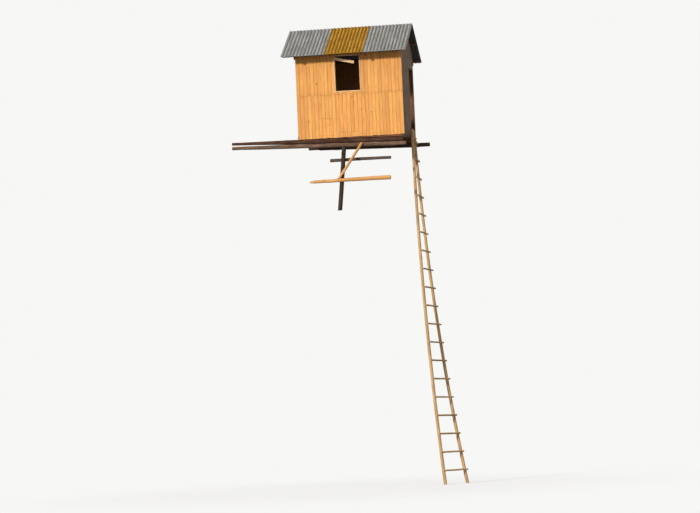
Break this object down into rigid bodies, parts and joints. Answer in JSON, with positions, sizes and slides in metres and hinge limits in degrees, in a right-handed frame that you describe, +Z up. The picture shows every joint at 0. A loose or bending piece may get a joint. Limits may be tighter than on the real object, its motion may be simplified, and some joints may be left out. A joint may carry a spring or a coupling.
{
  "type": "tree house",
  "caption": "Small board hut with a gabled corrugated roof on a platform of round poles held in a tree, with a pole ladder to the ground.",
  "frame": {"origin": "centre of the front post's flat foot, in the tree's crotch", "axes": "+X to the right along the front wall, +Y to the back of the hut, +Z up"},
  "size_m": [4.6952, 2.5194, 10.0763],
  "materials": {
    "front_boards": "bare pale boards, warmed by age",
    "side_boards": "bare boards, greyed",
    "frame_timber": "sawn timber, bare",
    "floor_timber": "sawn boards, bare",
    "window_timber": "bare pale strips",
    "bearer_poles": "round poles with grey bark",
    "peeled_poles": "round poles, peeled",
    "ladder_poles": "round poles, weathered",
    "grey_sheet": "dull weathered zinc coat",
    "ochre_sheet": "faded ochre paint"
  },
  "bodies": {
    "root": {"front_wall": "front_boards", "back_wall": "side_boards", "left_wall": "front_boards", "right_wall": "side_boards", "right_wall_over_door": "side_boards", "right_wall_corner": "side_boards", "window_lining": "window_timber", "window_batten": "window_timber", "corner_posts": "frame_timber", "front_plate": "frame_timber", "rear_plate": "frame_timber", "tie_beams": "frame_timber", "girts": "frame_timber", "window_studs": "frame_timber", "door_studs": "frame_timber", "ridge_beam": "frame_timber", "front_rafters": "frame_timber", "rear_rafters": "frame_timber", "front_purlins": "frame_timber", "rear_purlins": "frame_timber", "front_sheet_left": "grey_sheet", "front_sheet_middle": "ochre_sheet", "front_sheet_right": "grey_sheet", "rear_sheet_left": "grey_sheet", "rear_sheet_middle": "grey_sheet", "rear_sheet_right": "grey_sheet", "floor_boards": "floor_timber", "joists": "bearer_poles", "packers": "frame_timber", "front_bearer_lower": "bearer_poles", "front_bearer_upper": "bearer_poles", "rear_bearer_upper": "bearer_poles", "front_post": "bearer_poles", "brace": "peeled_poles", "front_cross_pole": "peeled_poles", "back_cross_pole": "bearer_poles", "ladder_rail_near": "ladder_poles", "ladder_rail_far": "ladder_poles", "ladder_rungs": "ladder_poles"}
  },
  "joints": []
}
